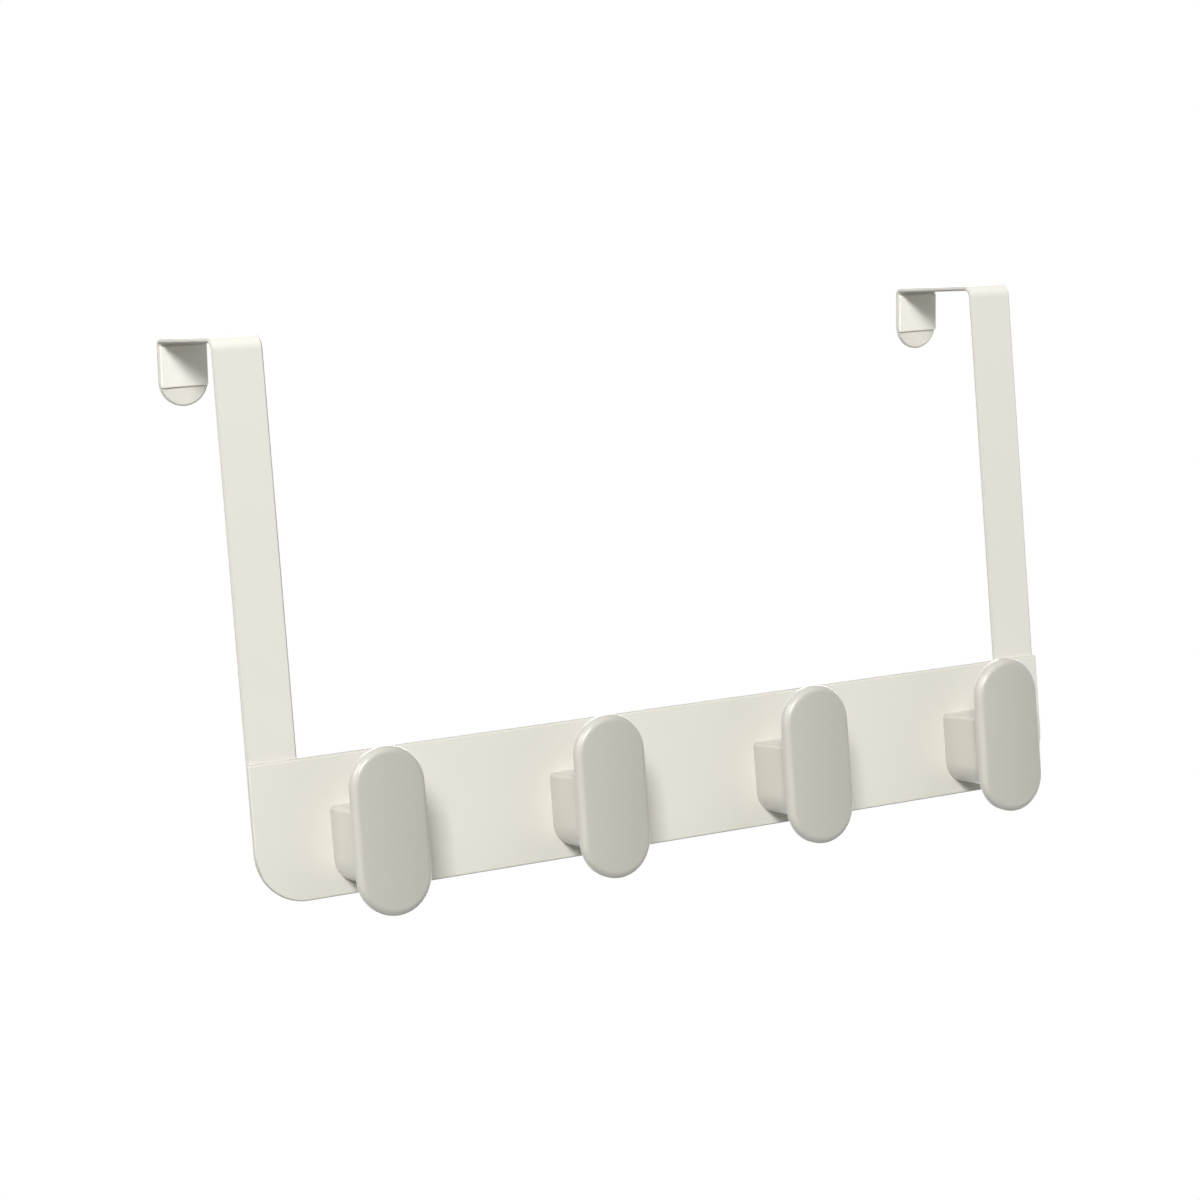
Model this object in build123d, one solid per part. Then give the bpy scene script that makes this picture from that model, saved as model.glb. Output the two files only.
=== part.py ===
from build123d import *
from math import cos, radians, sin, tan
import os

# Over-door hook rack. Millimetres, X along the plate, +Y back over the door, +Z up.
# The origin is midway between the straps, on the door's front face at the door's top edge.

# Sheet-steel plate that carries the hooks
plate_width = 360.0
plate_height = 53.0
plate_thickness = 1.5
plate_lower_corner_radius = 20.0
plate_top_corner_radius = 1.0
plate_edge_radius = 0.7

# Flat-steel straps: up from the plate, back over the door, down behind it
strap_width = 20.0
strap_thickness = 1.8
strap_drop = 154.3
strap_overlap = 30.0
strap_end_margin = 0.5
strap_edge_chamfer = 0.6
door_gap = 50.3
saddle_rise = 2.0
front_bend_radius = 3.0
back_bend_radius = 1.0
leg_length = 24.3
leg_splay = 6.4

# Spot welds that hold each strap to the plate, seen as shallow dimples from behind
weld_diameter = 5.0
weld_depth = 0.2
weld_spacing = 15.0

# Foam pads on the inner faces of the back legs
pad_thickness = 1.0
pad_height = 15.6
pad_side_margin = 0.5
pad_top_gap = 0.3
pad_corner_radius = 0.6

# Moulded hooks: a pill-shaped knob on a U-section stem
hook_count = 4
hook_end_distance = 40.5
hook_reach = 35.0
knob_height = 62.4
knob_width = 29.7
knob_thickness = 5.6
knob_crown = 1.2
knob_front_edge_radius = 2.6
knob_back_edge_radius = 1.2
stem_width = 18.5
stem_height = 29.2
stem_below_middle = 7.2
stem_top_edge_radius = 1.6
stem_root_radius = 0.8

# Low-head screws driven from behind into each stem
screw_spacing = 13.0
screw_diameter = 3.5
screw_hole_clearance = 0.25
screw_grip = 12.0
screw_tip_room = 1.0
screw_head_diameter = 8.0
screw_head_room = 0.3
screw_slot_length = 4.4
screw_slot_width = 0.9
screw_slot_depth = 0.7

# Places worked out from the sizes above
plate_front = strap_thickness + plate_thickness
plate_top = -strap_drop
plate_middle = plate_top - plate_height / 2
stem_middle = plate_middle - stem_below_middle
stem_length = hook_reach - knob_thickness
screw_head_height = strap_thickness - screw_head_room
strap_centre = (plate_width - strap_width) / 2 - strap_end_margin
saddle_back = door_gap * tan(radians(saddle_rise))
hook_pitch = (plate_width - 2 * hook_end_distance) / (hook_count - 1)
hook_places = [hook_end_distance - plate_width / 2 + i * hook_pitch for i in range(hook_count)]
screw_heights = [stem_middle + side * screw_spacing / 2 for side in (1, -1)]
screw_places = [(x, z) for x in hook_places for z in screw_heights]


def facing_front(distance):
    """The upright plane that looks forward, a distance in front of the door's face."""
    return Plane.XZ.offset(distance)


def back_plate():
    """A stamped plate, square above and round below, with a hole for each hook screw."""
    outline = Pos(0, plate_middle) * Rectangle(plate_width, plate_height)
    upper = outline.vertices().group_by(Axis.Y)[-1]
    outline = fillet(upper, plate_top_corner_radius)
    lower = outline.vertices().group_by(Axis.Y)[0]
    outline = fillet(lower, plate_lower_corner_radius)
    plate = extrude(facing_front(strap_thickness) * outline, plate_thickness)
    front_rim = plate.faces().sort_by(Axis.Y)[0].edges()
    plate = fillet(front_rim, min(plate_edge_radius, plate_thickness / 2))
    hole = Circle(screw_diameter / 2 + screw_hole_clearance)
    holes = facing_front(strap_thickness) * Locations(screw_places).locations
    return plate - [extrude(place * hole, plate_thickness) for place in holes]


def leg_plane():
    """The back leg's inner face at the saddle: local Y runs up the leg, Z faces the door."""
    tilt = radians(leg_splay)
    facing = (0, -cos(tilt), -sin(tilt))
    return Plane(origin=(0, door_gap, saddle_back), x_dir=(1, 0, 0), z_dir=facing)


def strap():
    """A strip bent over the door at X = 0, with a full round end on its splayed back leg."""
    leg = leg_plane()
    foot = (0, plate_top - strap_overlap)
    leg_end = leg.from_local_coords(Vector(0, -leg_length, 0))
    corners = [foot, (0, 0), (door_gap, saddle_back), (leg_end.Y, leg_end.Z)]
    inside = FilletPolyline(*corners, radius=[front_bend_radius, back_bend_radius])
    section = make_face(offset(inside, strap_thickness, side=Side.LEFT, closed=True))
    strip = extrude(Plane.YZ * section, strap_width / 2, both=True)

    end_radius = strap_width / 2
    below_end_centre = Pos(0, -end_radius) * Rectangle(2 * strap_width, 2 * end_radius)
    spare = Pos(0, end_radius - leg_length) * (below_end_centre - Circle(end_radius))
    strip -= extrude(leg * spare, 2 * strap_thickness, both=True)

    sides = [strip.faces().sort_by(Axis.X)[i] for i in (0, -1)]
    rims = [edge for face in sides for edge in face.edges()]
    strip = chamfer(rims, min(strap_edge_chamfer, 0.4 * strap_thickness))

    weld_middle = plate_top - strap_overlap / 2
    welds = [Pos(0, weld_middle + side * weld_spacing / 2) * Circle(weld_diameter / 2) for side in (1, -1)]
    return strip - [extrude(facing_front(0) * weld, weld_depth) for weld in welds]


def leg_pad():
    """A foam pad with softened corners, stuck to the back leg's inner face at X = 0."""
    pad_width = strap_width - 2 * pad_side_margin
    bend_reach = back_bend_radius * tan(radians(90 - leg_splay + saddle_rise) / 2)
    middle = -(bend_reach + pad_top_gap + pad_height / 2)
    outline = Pos(0, middle) * RectangleRounded(pad_width, pad_height, pad_corner_radius)
    return extrude(leg_plane() * outline, pad_thickness)


def knob():
    """A pill-shaped disc at X = 0, crowned across its width, with rounded edges."""
    outline = Pos(0, plate_middle) * SlotOverall(knob_height, knob_width, rotation=90)
    disc = extrude(facing_front(plate_front + stem_length) * outline, knob_thickness)
    crown_radius = (knob_width**2 / 4 + knob_crown**2) / (2 * knob_crown)
    crown_axis = (0, crown_radius - plate_front - hook_reach, plate_middle)
    disc &= Pos(crown_axis) * Cylinder(crown_radius, 2 * knob_height)
    rim = knob_thickness - knob_crown
    front_rim = disc.faces().sort_by(Axis.Y)[0].edges()
    disc = fillet(front_rim, min(knob_front_edge_radius, 0.6 * rim))
    back_rim = disc.faces().sort_by(Axis.Y)[-1].edges()
    return fillet(back_rim, min(knob_back_edge_radius, 0.3 * rim))


def stem():
    """A U-section block at X = 0, flat on top and fully round below, from plate to knob."""
    round_radius = stem_width / 2
    straight = stem_height - round_radius
    top = stem_middle + stem_height / 2
    section = Pos(0, top - straight / 2) * Rectangle(stem_width, straight)
    section += Pos(0, top - straight) * Circle(round_radius)
    block = extrude(facing_front(plate_front) * section, stem_length)
    upper = block.faces().sort_by(Axis.Z)[-1]
    return fillet(upper.edges().filter_by(Axis.Y), stem_top_edge_radius)


def hook():
    """One moulding at X = 0: stem and knob, with two pilot holes from behind."""
    moulding = stem() + knob()
    knob_back = moulding.faces().filter_by(Plane.XZ).sort_by(Axis.Y)[0]
    moulding = fillet(knob_back.inner_wires()[0].edges(), stem_root_radius)
    pilot = Circle(screw_diameter / 2)
    pilots = facing_front(plate_front) * Locations([(0, z) for z in screw_heights]).locations
    depth = screw_grip + screw_tip_room
    return moulding - [extrude(place * pilot, depth) for place in pilots]


def hook_screw():
    """A low-head screw on the Y axis: head behind the plate, shank forward into the stem."""
    back = facing_front(strap_thickness)
    head = extrude(back * Circle(screw_head_diameter / 2), -screw_head_height)
    head_rim = head.faces().sort_by(Axis.Y)[-1].edges()
    head = chamfer(head_rim, screw_head_height / 2)
    shank = extrude(back * Circle(screw_diameter / 2), plate_thickness + screw_grip)
    slot = Rectangle(screw_slot_length, screw_slot_width)
    cross = slot + Rot(0, 0, 90) * slot
    head_back = facing_front(strap_thickness - screw_head_height)
    return head + shank - extrude(head_back * cross, screw_slot_depth)


os.makedirs("parts", exist_ok=True)
export_step(back_plate(), "parts/back_plate.step")

straps = {"left": -strap_centre, "right": strap_centre}
for side, x in straps.items():
    export_step(Pos(x, 0, 0) * strap(), f"parts/{side}_strap.step")
    export_step(Pos(x, 0, 0) * leg_pad(), f"parts/{side}_leg_pad.step")

for number, x in enumerate(hook_places, start=1):
    export_step(Pos(x, 0, 0) * hook(), f"parts/hook_{number}.step")

screws = [Pos(x, 0, z) * hook_screw() for x, z in screw_places]
export_step(Compound(children=screws), "parts/hook_screws.step")
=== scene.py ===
from math import cos, radians, sin, tau

import bpy
import numpy as np
from mathutils import Matrix, Vector


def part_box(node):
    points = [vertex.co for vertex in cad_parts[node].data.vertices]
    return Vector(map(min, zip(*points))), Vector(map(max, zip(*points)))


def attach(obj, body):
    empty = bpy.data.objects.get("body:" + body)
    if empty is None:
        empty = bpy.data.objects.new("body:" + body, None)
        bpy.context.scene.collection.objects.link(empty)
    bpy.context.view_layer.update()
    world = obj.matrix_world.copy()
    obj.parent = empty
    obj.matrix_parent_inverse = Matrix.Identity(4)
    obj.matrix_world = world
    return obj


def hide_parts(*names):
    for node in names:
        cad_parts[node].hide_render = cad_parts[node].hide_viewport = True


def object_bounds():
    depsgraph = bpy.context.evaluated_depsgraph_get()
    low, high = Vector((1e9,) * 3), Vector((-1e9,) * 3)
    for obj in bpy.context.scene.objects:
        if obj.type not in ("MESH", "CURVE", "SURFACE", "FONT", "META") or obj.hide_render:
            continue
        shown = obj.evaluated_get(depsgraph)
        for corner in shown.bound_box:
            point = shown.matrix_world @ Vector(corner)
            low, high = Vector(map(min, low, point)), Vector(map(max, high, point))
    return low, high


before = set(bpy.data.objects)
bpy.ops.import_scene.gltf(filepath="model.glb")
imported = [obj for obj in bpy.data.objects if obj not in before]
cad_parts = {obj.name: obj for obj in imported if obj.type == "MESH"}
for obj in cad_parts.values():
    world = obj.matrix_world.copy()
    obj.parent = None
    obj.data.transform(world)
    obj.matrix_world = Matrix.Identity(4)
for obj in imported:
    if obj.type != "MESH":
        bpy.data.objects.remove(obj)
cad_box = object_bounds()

# Over-door hook rack. Metres, X along the plate, +Y back over the door, +Z up.


# Back plate: a stamped sheet-steel strip with square upper and large round lower corners.
# Its off-white powder coat is a baked skin, fine-grained and satin, rougher on the edges of the
# sheet, where painted shade darkens it, and it drifts slightly in tone over the length.
coat_colour = (0.72, 0.70, 0.634, 1.0)
coat_roughness = 0.42
coat_roughness_spread = 0.05
coat_lump_size = 0.0007
coat_lump_height = 0.000004
coat_fine_share = 0.4
coat_drift_size = 0.07
coat_drift_share = 0.035
coat_edge_width = 0.0005
# Painted shade: the share of brightness taken off the coat on cut edges, in place of the light they would
# catch.
coat_edge_painted_shade = 0.3
coat_edge_roughness = 0.3
plate_thickness_axis = (0, 1, 0)
plate_face_ends = 0.97
plate_edge_starts = 0.75


def add_node(tree, kind, inputs=None, **properties):
    """A node with its properties set; each input is a plain value or an output socket to link."""
    made = tree.nodes.new(kind)
    for name, value in properties.items():
        setattr(made, name, value)
    for name, value in (inputs or {}).items():
        if isinstance(value, bpy.types.NodeSocket):
            tree.links.new(value, made.inputs[name])
        else:
            made.inputs[name].default_value = value
    return made


def math_node(tree, operation, first, second=0.0):
    """The output of a Math node that works on two values or sockets."""
    return add_node(tree, "ShaderNodeMath", {0: first, 1: second}, operation=operation).outputs[0]


def map_range(tree, value, low, high, start=0.0, stop=1.0):
    """A value between start and stop carried to the range from low to high."""
    ends = {"From Min": start, "From Max": stop, "To Min": low, "To Max": high}
    return add_node(tree, "ShaderNodeMapRange", {"Value": value, **ends}).outputs[0]


def spread_about(tree, share, middle, spread):
    """A value from spread below a middle to spread above it, as a share goes from 0 to 1."""
    return map_range(tree, share, middle - spread, middle + spread)


def lerp_colour(tree, share, low, high):
    """A colour between low and high by a share from 0 to 1, on a Mix node's colour sockets."""
    low_socket, high_socket, result_socket = 6, 7, 2
    inputs = {"Factor": share, low_socket: low, high_socket: high}
    return add_node(tree, "ShaderNodeMix", inputs, data_type="RGBA").outputs[result_socket]


def darker(colour, loss):
    """A colour that has lost a share of its brightness."""
    return tuple(channel * (1 - loss) for channel in colour[:3]) + (1.0,)


def new_group(name, inputs, outputs):
    """An empty shader node group with its named sockets; returns it with its two end nodes."""
    group = bpy.data.node_groups.new(name, "ShaderNodeTree")
    for direction, sockets in (("INPUT", inputs), ("OUTPUT", outputs)):
        for socket, kind in sockets.items():
            group.interface.new_socket(socket, in_out=direction, socket_type=f"NodeSocket{kind}")
    return group, group.nodes.new("NodeGroupInput"), group.nodes.new("NodeGroupOutput")


def skin_group():
    """Height of a lumpy skin: noise of one lump size, plus a share of noise three times as fine."""
    lump_detail = 1.0
    fine_ratio = 3.1
    group, given, result = new_group(
        "lumpy_skin", {"Lump Size": "Float", "Fine Share": "Float"}, {"Height": "Float"}
    )
    place = group.nodes.new("ShaderNodeTexCoord").outputs["Object"]
    scale = math_node(group, "DIVIDE", 1.0, given.outputs["Lump Size"])
    fine_scale = math_node(group, "MULTIPLY", scale, fine_ratio)
    pattern = {"Vector": place, "Detail": lump_detail}
    lumps = add_node(group, "ShaderNodeTexNoise", {**pattern, "Scale": scale})
    fine = add_node(group, "ShaderNodeTexNoise", {**pattern, "Scale": fine_scale})
    share = math_node(group, "MULTIPLY", fine.outputs[0], given.outputs["Fine Share"])
    group.links.new(math_node(group, "ADD", lumps.outputs[0], share), result.inputs["Height"])
    return group


def drift_group():
    """Colour that drifts over a surface: colour x (1 + share x (noise - 0.5)).

    Shade puts out the noise itself.
    """
    drift_detail = 3.0
    noise_middle = 0.5
    group, given, result = new_group(
        "shade_drift",
        {"Colour": "Color", "Patch Size": "Float", "Share": "Float"},
        {"Colour": "Color", "Shade": "Float"},
    )
    place = group.nodes.new("ShaderNodeTexCoord").outputs["Object"]
    scale = math_node(group, "DIVIDE", 1.0, given.outputs["Patch Size"])
    pattern = {"Vector": place, "Scale": scale, "Detail": drift_detail}
    noise = add_node(group, "ShaderNodeTexNoise", pattern)
    offset = math_node(group, "SUBTRACT", noise.outputs[0], noise_middle)
    gain = math_node(group, "ADD", math_node(group, "MULTIPLY", offset, given.outputs["Share"]), 1.0)
    product = {0: given.outputs["Colour"], "Scale": gain}
    scaled = add_node(group, "ShaderNodeVectorMath", product, operation="SCALE")
    group.links.new(scaled.outputs[0], result.inputs["Colour"])
    group.links.new(noise.outputs[0], result.inputs["Shade"])
    return group


def edge_group():
    """Normal rounded off within a width of every edge, as a skin of paint rounds it."""
    edge_samples = 6
    group, given, result = new_group("soft_edge", {"Width": "Float"}, {"Normal": "Vector"})
    rounded = add_node(group, "ShaderNodeBevel", {"Radius": given.outputs["Width"]}, samples=edge_samples)
    group.links.new(rounded.outputs[0], result.inputs["Normal"])
    return group


def facing_group():
    """How squarely a surface faces along a direction: 1 along it either way, 0 across it."""
    group, given, result = new_group("facing_along", {"Direction": "Vector"}, {"Mask": "Float"})
    normal = group.nodes.new("ShaderNodeNewGeometry").outputs["Normal"]
    pair = {0: normal, 1: given.outputs["Direction"]}
    along = add_node(group, "ShaderNodeVectorMath", pair, operation="DOT_PRODUCT").outputs["Value"]
    group.links.new(math_node(group, "ABSOLUTE", along), result.inputs["Mask"])
    return group


lumpy_skin = skin_group()
shade_drift = drift_group()
soft_edge = edge_group()
facing_along = facing_group()


def place_group(tree, group, inputs):
    """The outputs of a shader node group placed in a material with this material's own values."""
    return add_node(tree, "ShaderNodeGroup", inputs, node_tree=group).outputs


def new_material(name):
    """A node material with its Principled shader; returns the material, its tree and the shader."""
    material = bpy.data.materials.new(name)
    material.use_nodes = True
    return material, material.node_tree, material.node_tree.nodes["Principled BSDF"]


def powder_coat(name, direction, start, stop):
    """Satin powder coat: drifting off-white with a lumpy skin as bump, rougher on cut edges, with painted
    shade there.

    The cut edges are told from the faces by how squarely they face along a direction: the painted
    shade and the added roughness grow from none to full as that share goes from start to stop.
    """
    material, tree, shader = new_material(name)
    drift = place_group(
        tree, shade_drift, {"Colour": coat_colour, "Patch Size": coat_drift_size, "Share": coat_drift_share}
    )
    facing = place_group(tree, facing_along, {"Direction": direction})
    edge_shade_and_dullness = map_range(tree, facing["Mask"], 0.0, 1.0, start, stop)
    # Painted shade: the cut edges take a darker copy of the coat's colour.
    colour = lerp_colour(tree, edge_shade_and_dullness, drift["Colour"], darker(coat_colour, coat_edge_painted_shade))
    tree.links.new(colour, shader.inputs["Base Color"])
    rough = spread_about(tree, drift["Shade"], coat_roughness, coat_roughness_spread)
    rough = math_node(tree, "ADD", rough, math_node(tree, "MULTIPLY", edge_shade_and_dullness, coat_edge_roughness))
    tree.links.new(rough, shader.inputs["Roughness"])
    skin = place_group(tree, lumpy_skin, {"Lump Size": coat_lump_size, "Fine Share": coat_fine_share})
    edge_skin = place_group(tree, soft_edge, {"Width": coat_edge_width})
    relief = {"Height": skin["Height"], "Distance": coat_lump_height, "Normal": edge_skin["Normal"]}
    bump = add_node(tree, "ShaderNodeBump", relief)
    tree.links.new(bump.outputs[0], shader.inputs["Normal"])
    return material


def finish_node(node, material):
    """Gives a solid of the frame its finish."""
    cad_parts[node].material_slots[0].material = material


plate_coat = powder_coat("plate_powder_coat", plate_thickness_axis, plate_face_ends, plate_edge_starts)
finish_node("back_plate", plate_coat)


# Straps: two strips of flat steel, bent twice to go over the door and spot-welded behind the
# plate. They are coated with the plate, in one go, so the finish runs on over the joint.
strap_width_axis = (1, 0, 0)
strap_face_ends = 0.15
strap_edge_starts = 0.6

strap_coat = powder_coat("strap_powder_coat", strap_width_axis, strap_face_ends, strap_edge_starts)
for strap in ("left_strap", "right_strap"):
    finish_node(strap, strap_coat)


# Hooks: one plastic moulding each, a stem with a pill-shaped knob, in a slightly greyer
# off-white than the steel. The mould's fine satin texture covers every face.
hook_count = 4
hook_colour = (0.47, 0.454, 0.405, 1.0)
hook_roughness = 0.32
hook_roughness_spread = 0.04
hook_sheen = 0.35
hook_sheen_roughness = 0.35
hook_grain_size = 0.00045
hook_grain_height = 0.000006
hook_fine_share = 0.6
hook_drift_size = 0.03
hook_drift_share = 0.03


def moulded_plastic():
    """Satin plastic: a nearly even colour with the fine grain of a textured mould as bump."""
    material, tree, shader = new_material("moulded_plastic")
    drift = place_group(
        tree, shade_drift, {"Colour": hook_colour, "Patch Size": hook_drift_size, "Share": hook_drift_share}
    )
    tree.links.new(drift["Colour"], shader.inputs["Base Color"])
    rough = spread_about(tree, drift["Shade"], hook_roughness, hook_roughness_spread)
    tree.links.new(rough, shader.inputs["Roughness"])
    skin = place_group(tree, lumpy_skin, {"Lump Size": hook_grain_size, "Fine Share": hook_fine_share})
    bump = add_node(tree, "ShaderNodeBump", {"Height": skin["Height"], "Distance": hook_grain_height})
    tree.links.new(bump.outputs[0], shader.inputs["Normal"])
    shader.inputs["Sheen Weight"].default_value = hook_sheen
    shader.inputs["Sheen Roughness"].default_value = hook_sheen_roughness
    return material


plastic = moulded_plastic()
for number in range(1, hook_count + 1):
    finish_node(f"hook_{number}", plastic)


# Hook screws: eight low-head steel screws, bright zinc plated, two to a hook, driven from
# behind through the plate. Their heads still show the rings of the lathe.
zinc_colour = (0.60, 0.60, 0.62, 1.0)
zinc_roughness = 0.34
zinc_roughness_spread = 0.1
zinc_patch_size = 0.002
zinc_patch_share = 0.15
screw_pitch = 0.093
screw_first = -0.1395
screw_spacing = 0.013
screw_lowest = -0.1945
ring_width = 0.0004
ring_height = 0.000008


def bright_zinc():
    """Zinc plate that drifts in small patches, over turned rings.

    The rings are a sine of the distance from the nearest screw's axis.
    """
    material, tree, shader = new_material("bright_zinc")
    drift = place_group(
        tree, shade_drift, {"Colour": zinc_colour, "Patch Size": zinc_patch_size, "Share": zinc_patch_share}
    )
    tree.links.new(drift["Colour"], shader.inputs["Base Color"])
    rough = spread_about(tree, drift["Shade"], zinc_roughness, zinc_roughness_spread)
    tree.links.new(rough, shader.inputs["Roughness"])
    shader.inputs["Metallic"].default_value = 1.0
    place = tree.nodes.new("ShaderNodeTexCoord").outputs["Object"]
    axes = add_node(tree, "ShaderNodeSeparateXYZ", {0: place}).outputs
    from_first = math_node(tree, "SUBTRACT", axes["X"], screw_first)
    from_lowest = math_node(tree, "SUBTRACT", axes["Z"], screw_lowest)
    across = math_node(tree, "PINGPONG", from_first, screw_pitch / 2)
    up = math_node(tree, "PINGPONG", from_lowest, screw_spacing / 2)
    across_squared = math_node(tree, "POWER", across, 2.0)
    up_squared = math_node(tree, "POWER", up, 2.0)
    radius = math_node(tree, "SQRT", math_node(tree, "ADD", across_squared, up_squared))
    rings = math_node(tree, "SINE", math_node(tree, "MULTIPLY", radius, tau / ring_width))
    bump = add_node(tree, "ShaderNodeBump", {"Height": rings, "Distance": ring_height})
    tree.links.new(bump.outputs[0], shader.inputs["Normal"])
    return material


finish_node("hook_screws", bright_zinc())


# Leg pads: die-cut closed-cell foam, stuck to the inner face of each back leg so that the
# steel doesn't mark the door. The cut edges are a little soft and the face is slightly full.
foam_colour = (0.90, 0.88, 0.82, 1.0)
foam_roughness = 0.85
foam_patch_size = 0.004
foam_patch_share = 0.05
foam_cell_size = 0.00055
foam_cell_depth = 0.00006
# Painted shade in each foam cell's hollow: how much darker the shaded colour is, and its share at the
# cell's middle.
foam_cell_painted_shade = 0.1
foam_cell_shade = 0.35
leg_splay = radians(6.4)
pad_corner_radius = 0.0006
pad_edge_radius = 0.0002
pad_crown = 0.0001
pad_waist = 0.0001
pad_undercut = 0.0004
pad_corner_points = 7
pad_side_points = 9
pad_rim_rings = 6
pad_back_shares = (0.0, 0.5, 1.0)
pad_face_shares = (0.9, 0.7, 0.45, 0.2, 0.0)


def rounded_outline(half_width, half_height, radius, per_corner, per_side):
    """A rounded rectangle as points and outward normals: quarter arcs joined by straight runs."""
    corners = np.array([(1, 1), (-1, 1), (-1, -1), (1, -1)])
    centres = corners * (half_width - radius, half_height - radius)
    turn = np.linspace(0, tau / 4, per_corner)
    points, normals = [], []
    for i, centre in enumerate(centres):
        angle = turn + i * tau / 4
        arc_normals = np.column_stack([np.cos(angle), np.sin(angle)])
        arc = centre + radius * arc_normals
        next_start = centres[(i + 1) % len(centres)] + radius * arc_normals[-1]
        along = np.linspace(0, 1, per_side + 2)[1:-1, None]
        points += [arc, arc[-1] + along * (next_start - arc[-1])]
        normals += [arc_normals, np.repeat(arc_normals[-1:], per_side, axis=0)]
    return np.vstack(points), np.vstack(normals)


def pad_rings(width, height, thickness):
    """Rings of a foam pad from the middle of its back to the middle of its face.

    Each ring is the outline drawn in by an inset along its normals, then shrunk towards the
    middle; the sides open out of an undercut at the glued back, and the rim turns through a
    quarter circle of the edge radius. The face rises by crown x (1 - x2)(1 - y2), and the
    sides draw in by waist x (1 - t2) between the corners.
    """
    half_size = (width / 2, height / 2)
    outline, normals = rounded_outline(*half_size, pad_corner_radius, pad_corner_points, pad_side_points)
    pull = pad_waist * (1 - np.minimum(np.abs(outline / half_size), 1).min(axis=1) ** 2)
    flat = thickness - pad_crown
    turn = np.linspace(0, tau / 4, pad_rim_rings)
    rim_inset = pad_edge_radius * (1 - np.cos(turn))
    rim_level = flat - pad_edge_radius * (1 - np.sin(turn))
    back_count, face_count = len(pad_back_shares), len(pad_face_shares)
    back_inset, face_inset = np.full(back_count, pad_undercut), np.full(face_count, pad_edge_radius)
    back_level, face_level = np.zeros(back_count), np.full(face_count, flat)
    inset = np.concatenate([back_inset, [0], rim_inset, face_inset])
    level = np.concatenate([back_level, [pad_undercut], rim_level, face_level])
    shrink = np.concatenate([pad_back_shares, np.ones(1 + pad_rim_rings), pad_face_shares])
    drawn_in = normals * (inset[:, None] + pull)[..., None]
    flat_place = (outline - drawn_in) * shrink[:, None, None]
    fullness = np.prod(np.clip(1 - (flat_place / half_size) ** 2, 0, 1), axis=2)
    rise = pad_crown * fullness * (level >= flat)[:, None]
    return np.dstack([flat_place, level[:, None] + rise])


def rings_to_mesh(name, rings):
    """A closed mesh of rings of points: the first and last rings are single points, the poles."""
    count, around = rings.shape[:2]
    inner = rings[1:-1].reshape(-1, 3)
    points = np.vstack([rings[0, :1], inner, rings[-1, :1]])
    start = 1 + around * np.arange(count - 3)[:, None]
    here, ahead = np.arange(around), (np.arange(around) + 1) % around
    quads = np.stack([start + here, start + ahead, start + around + ahead, start + around + here], axis=2)
    top = 1 + around * (count - 3)
    first_fan = np.column_stack([np.zeros(around, int), 1 + ahead, 1 + here])
    last_fan = np.column_stack([np.full(around, len(points) - 1), top + here, top + ahead])
    faces = [*quads.reshape(-1, 4).tolist(), *first_fan.tolist(), *last_fan.tolist()]
    mesh = bpy.data.meshes.new(name)
    mesh.from_pydata(points.tolist(), [], faces)
    mesh.polygons.foreach_set("use_smooth", np.ones(len(mesh.polygons), bool))
    mesh.update()
    return mesh


def foam():
    """Closed-cell foam: small round cells as bump, with painted shade darkening each towards its hollow
    middle.
    """
    material, tree, shader = new_material("closed_cell_foam")
    place = tree.nodes.new("ShaderNodeTexCoord").outputs["Object"]
    cells = add_node(tree, "ShaderNodeTexVoronoi", {"Vector": place, "Scale": 1 / foam_cell_size})
    from_middle = cells.outputs["Distance"]
    drift = place_group(
        tree, shade_drift, {"Colour": foam_colour, "Patch Size": foam_patch_size, "Share": foam_patch_share}
    )
    # Painted shade: a darker foam colour towards the hollow middle of each cell.
    shade = map_range(tree, from_middle, foam_cell_shade, 0.0)
    colour = lerp_colour(tree, shade, drift["Colour"], darker(foam_colour, foam_cell_painted_shade))
    tree.links.new(colour, shader.inputs["Base Color"])
    shader.inputs["Roughness"].default_value = foam_roughness
    bump = add_node(tree, "ShaderNodeBump", {"Height": from_middle, "Distance": foam_cell_depth})
    tree.links.new(bump.outputs[0], shader.inputs["Normal"])
    return material


foam_finish = foam()
splay_sin, splay_cos = sin(leg_splay), cos(leg_splay)
pad_axes = np.array([(1, 0, 0), (0, -splay_sin, splay_cos), (0, -splay_cos, -splay_sin)])
lean = np.array([(splay_sin, splay_cos), (splay_cos, splay_sin)])
for node in ("left_leg_pad", "right_leg_pad"):
    low, high = (np.array(corner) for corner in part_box(node))
    across, back, up = high - low
    height, thickness = np.linalg.solve(lean, (back, up))
    rings = pad_rings(across, height, thickness) - (0, 0, thickness / 2)
    pad = bpy.data.objects.new(f"{node}_foam", rings_to_mesh(node, rings @ pad_axes + (low + high) / 2))
    bpy.context.scene.collection.objects.link(pad)
    pad.data.materials.append(foam_finish)
    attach(pad, "root")
    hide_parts(node)


# Stage: a pale floor well below the hanging rack and a pale world round it, both plain white
# to the camera and in reflections, and dim as a source of light.
white = (1.0, 1.0, 1.0, 1.0)
floor_grey = (0.4, 0.4, 0.4, 1.0)
floor_drop = 4.0
floor_reach = 12.0
world_light = 0.01


def seen_directly(tree):
    """1 where the camera, a reflection or a see-through ray looks, and 0 for scattered light."""
    path = tree.nodes.new("ShaderNodeLightPath").outputs
    mirrored = math_node(tree, "MAXIMUM", path["Is Glossy Ray"], path["Is Transmission Ray"])
    return math_node(tree, "MAXIMUM", path["Is Camera Ray"], mirrored)


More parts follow.
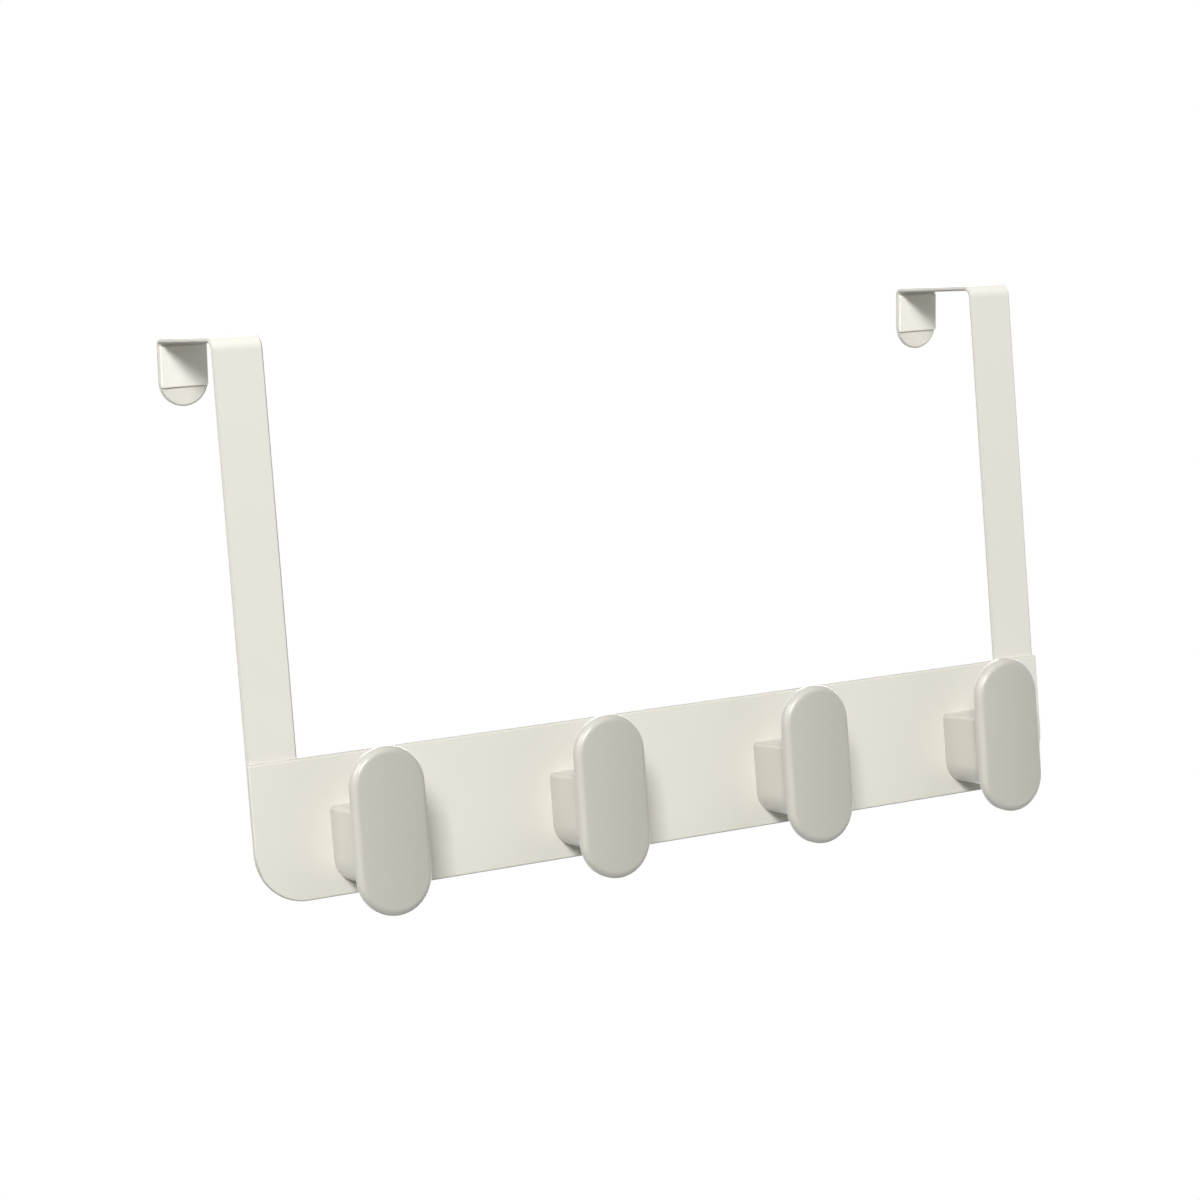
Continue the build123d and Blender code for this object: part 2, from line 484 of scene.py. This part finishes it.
def pale_floor():
    """A pale matt floor that the camera and reflections see as plain white."""
    material = bpy.data.materials.new("pale_floor")
    material.use_nodes = True
    tree = material.node_tree
    tree.nodes.clear()
    matt = add_node(tree, "ShaderNodeBsdfDiffuse", {"Color": floor_grey})
    glow = add_node(tree, "ShaderNodeEmission", {"Color": white, "Strength": 1.0})
    seen = seen_directly(tree)
    mix = add_node(tree, "ShaderNodeMixShader", {0: seen, 1: matt.outputs[0], 2: glow.outputs[0]})
    add_node(tree, "ShaderNodeOutputMaterial", {"Surface": mix.outputs[0]})
    return material


corner_signs = ((-1, -1), (1, -1), (1, 1), (-1, 1))
floor_corners = [(x * floor_reach, y * floor_reach, -floor_drop) for x, y in corner_signs]
floor_mesh = bpy.data.meshes.new("floor")
floor_mesh.from_pydata(floor_corners, [], [(0, 1, 2, 3)])
floor_mesh.materials.append(pale_floor())
floor = bpy.data.objects.new("floor", floor_mesh)
bpy.context.scene.collection.objects.link(floor)

world = bpy.data.worlds.new("pale_world")
world.use_nodes = True
bpy.context.scene.world = world
sky = world.node_tree.nodes["Background"]
sky.inputs["Color"].default_value = white
strength = map_range(world.node_tree, seen_directly(world.node_tree), world_light, 1.0)
world.node_tree.links.new(strength, sky.inputs["Strength"])


# Studio light: a distant soft key from the upper left in front, weak fills from the front and
# the right, distant light along the rack from the left, above and below the knobs, the glow
# of a pale table underneath, and a broad light behind that shows the back.
rack_middle = Vector((cad_box[0] + cad_box[1]) / 2)


def direction_to(turn, rise):
    """The direction at a turn to the right from straight ahead, and at a rise, both in degrees."""
    turn, rise = radians(turn), radians(rise)
    return Vector((sin(turn) * cos(rise), -cos(turn) * cos(rise), sin(rise)))


def soft_light(name, turn, rise, distance, size, power):
    """A square area light that faces the rack's middle, in degrees, metres and watts."""
    towards = direction_to(turn, rise)
    lamp = bpy.data.lights.new(name, "AREA")
    lamp.size = size
    lamp.energy = power
    holder = bpy.data.objects.new(name, lamp)
    holder.location = rack_middle + towards * distance
    holder.rotation_euler = towards.to_track_quat("Z", "Y").to_euler()
    bpy.context.scene.collection.objects.link(holder)


soft_light("key", turn=-32, rise=28, distance=4.5, size=1.17, power=208.0)
soft_light("front_fill", turn=5, rise=0, distance=1.8, size=1.0, power=1.2)
soft_light("right_high", turn=25, rise=42, distance=1.8, size=1.2, power=4.0)
soft_light("right_low", turn=32, rise=8, distance=1.6, size=1.2, power=2.5)
soft_light("right_side", turn=97, rise=0, distance=1.8, size=1.4, power=6.0)
soft_light("left_high", turn=-92, rise=35, distance=4.5, size=1.75, power=125.0)
soft_light("left_low", turn=-88, rise=-20, distance=4.5, size=2.0, power=22.0)
soft_light("table_glow", turn=0, rise=-88, distance=1.2, size=0.9, power=2.0)
soft_light("back_light", turn=152, rise=2, distance=1.9, size=2.0, power=40.0)


# Camera: a long lens to the left of the rack, about level with the top of the straps, rolled
# a little, as the photograph was taken.
camera_lens = 94.0
camera_sensor = 36.0
camera_turn = -29.266
camera_tilt = 4.536
camera_roll = -4.31
camera_distance = 1.21425
camera_aim = Vector((-0.02777, -0.0033, -0.10932))

away = direction_to(camera_turn, camera_tilt)
level = Vector((0, 0, 1)).cross(away).normalized()
upright = away.cross(level)
roll = radians(camera_roll)
side = cos(roll) * level + sin(roll) * upright
top = cos(roll) * upright - sin(roll) * level
lens = bpy.data.cameras.new("camera")
lens.lens = camera_lens
lens.sensor_width = camera_sensor
camera = bpy.data.objects.new("camera", lens)
camera_turned = Matrix((side, top, away)).transposed().to_4x4()
camera.matrix_world = Matrix.Translation(camera_aim + away * camera_distance) @ camera_turned
bpy.context.scene.collection.objects.link(camera)
bpy.context.scene.camera = camera
bpy.context.scene.view_settings.view_transform = "Standard"
